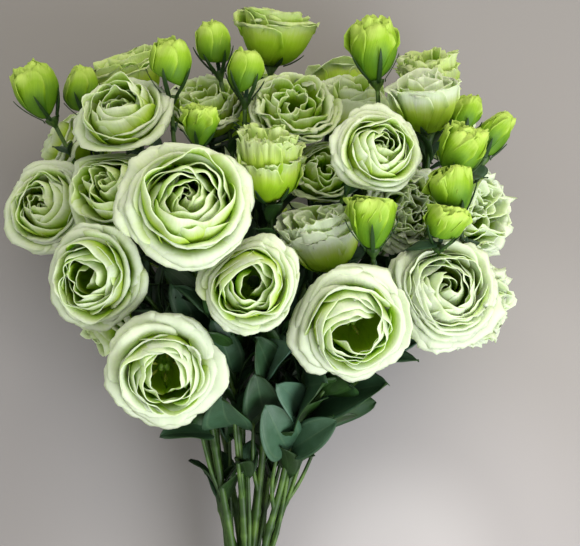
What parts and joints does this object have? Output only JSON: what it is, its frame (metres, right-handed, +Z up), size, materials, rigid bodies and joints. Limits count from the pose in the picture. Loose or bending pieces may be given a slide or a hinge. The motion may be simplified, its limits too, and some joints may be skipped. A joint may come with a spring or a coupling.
{
  "type": "hand-tied bunch of double lisianthus flowers",
  "caption": "Cut bunch of double lisianthus in green-white, with ruffled rose-like blooms, lime buds, glaucous leaves and bare stems tied with twine, lying on its back.",
  "frame": {"origin": "middle of the bunch's footprint, on the surface that it lies on", "axes": "+Z up from that surface, +Y along the stems from their cut ends to the flower heads, +X to the right as seen from above with the heads away"},
  "size_m": [0.2962, 0.4446, 0.2049],
  "materials": {
    "petals": "matte, slightly translucent petals, white at the rims and lime green at the heart",
    "young_petals": "matte, lime green petals of blooms that are still opening",
    "buds": "satin, yellow-green wound petals",
    "green": "satin stems, with leaves under a blue-grey waxy bloom",
    "twine": "rough twisted natural fibre"
  },
  "bodies": {
    "root": {"bloom_01": "petals", "bloom_02": "petals", "bloom_03": "petals", "bloom_04": "petals", "bloom_05": "petals", "bloom_06": "petals", "bloom_07": "petals", "bloom_08": "petals", "bloom_09": "petals", "bloom_10": "petals", "bloom_11": "petals", "bloom_12": "petals", "bloom_13": "petals", "bloom_14": "young_petals", "bloom_15": "petals", "bloom_16": "petals", "bloom_17": "petals", "bloom_18": "petals", "bloom_19": "young_petals", "bloom_20": "petals", "bloom_21": "petals", "bloom_22": "petals", "bloom_23": "petals", "bloom_24": "petals", "bloom_25": "petals", "bloom_26": "petals", "bloom_27": "petals", "bloom_28": "petals", "bloom_29": "petals", "bloom_30": "petals", "bloom_31": "petals", "bloom_32": "petals", "bloom_33": "petals", "bloom_34": "petals", "bud_01": "buds", "bud_02": "buds", "bud_03": "buds", "bud_04": "buds", "bud_05": "buds", "bud_06": "buds", "bud_07": "buds", "bud_08": "buds", "bud_09": "buds", "bud_10": "buds", "bud_11": "buds", "bud_12": "buds", "bud_13": "buds", "leafy_stem_01": "green", "leafy_stem_02": "green", "leafy_stem_03": "green", "leafy_stem_04": "green", "leafy_stem_05": "green", "leafy_stem_06": "green", "leafy_stem_07": "green", "leafy_stem_08": "green", "leafy_stem_09": "green", "leafy_stem_10": "green", "leafy_stem_11": "green", "leafy_stem_12": "green", "twine_tie": "twine"}
  },
  "joints": []
}
